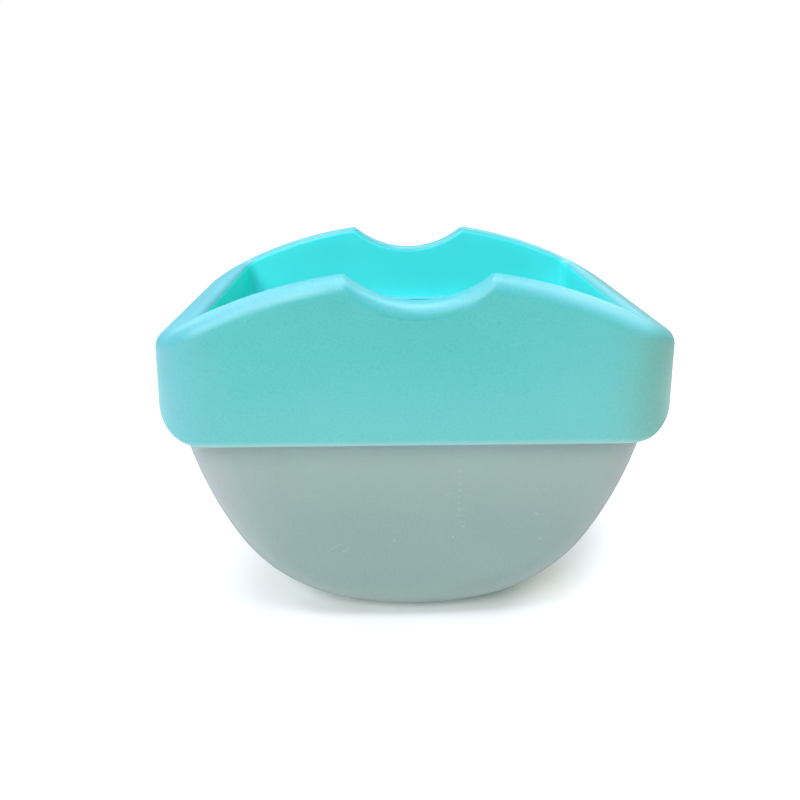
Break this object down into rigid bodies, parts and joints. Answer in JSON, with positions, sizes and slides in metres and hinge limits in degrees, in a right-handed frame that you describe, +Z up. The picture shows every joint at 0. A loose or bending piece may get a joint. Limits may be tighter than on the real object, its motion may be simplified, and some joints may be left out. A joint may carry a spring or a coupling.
{
  "type": "hair color bowl",
  "caption": "Translucent half-drum mixing bowl for hair colour, with a lift-off splash collar whose long walls are scalloped to rest a tint brush.",
  "frame": {"origin": "centre of the foot that the bowl stands on", "axes": "+Z up, +X along the bowl's length, +Y across it; front and back are alike"},
  "size_m": [0.1446, 0.0928, 0.11],
  "materials": {
    "collar": "satin turquoise moulding",
    "bowl": "frosted translucent grey-green moulding"
  },
  "bodies": {
    "bowl": {"color_bowl": "bowl"},
    "collar": {"splash_collar": "collar"}
  },
  "joints": [
    {"name": "collar_lift", "type": "slide", "parent": "bowl", "child": "collar", "axis": [0, 0, 1], "range_m": [0, 0.04]}
  ]
}
